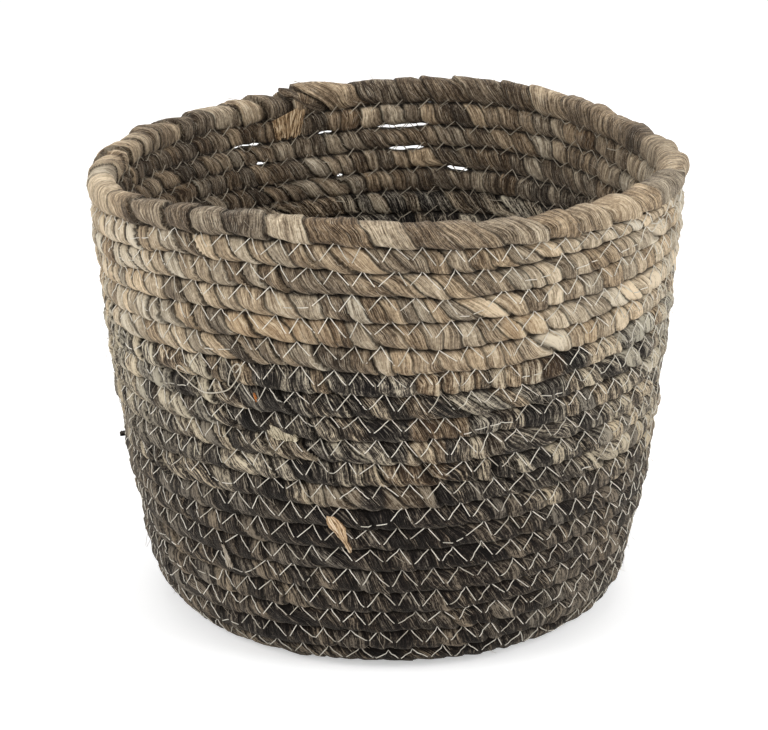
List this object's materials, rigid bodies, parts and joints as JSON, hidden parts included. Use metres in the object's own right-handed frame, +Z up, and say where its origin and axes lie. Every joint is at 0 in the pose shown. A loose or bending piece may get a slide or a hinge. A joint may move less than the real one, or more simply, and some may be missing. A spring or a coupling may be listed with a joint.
{
  "type": "basket",
  "caption": "Round open basket of coiled husk rope sewn row on row with zigzag stitches, wider at the rim than at the flat base, for storage or as a plant pot cover",
  "frame": {"origin": "middle of the underside of the base, on the surface that the basket stands on", "axes": "+Z is up through the open mouth; -Y is the front in the picture; +X is the viewer's right"},
  "size_m": [0.2494, 0.2494, 0.1981],
  "materials": {
    "charcoal_husk": "dry fibrous husk rope, dyed charcoal",
    "mixed_husk": "dry fibrous husk rope, dyed and undyed strips mixed",
    "natural_husk": "dry fibrous husk rope, undyed grey tan",
    "rim_husk": "dry fibrous husk rope, undyed grey brown",
    "outer_thread": "off-white sewing thread",
    "inner_thread": "dull beige sewing thread",
    "tan_husk": "dry husk strip, smooth side out"
  },
  "bodies": {
    "root": {"base_rope": "charcoal_husk", "dark_rope": "charcoal_husk", "mixed_rope": "mixed_husk", "natural_rope": "natural_husk", "rim_rope": "rim_husk", "needle_thread": "outer_thread", "bobbin_thread": "inner_thread", "husk_flap_at_join": "tan_husk", "husk_tip_front": "tan_husk", "husk_tip_low": "tan_husk"}
  },
  "joints": []
}
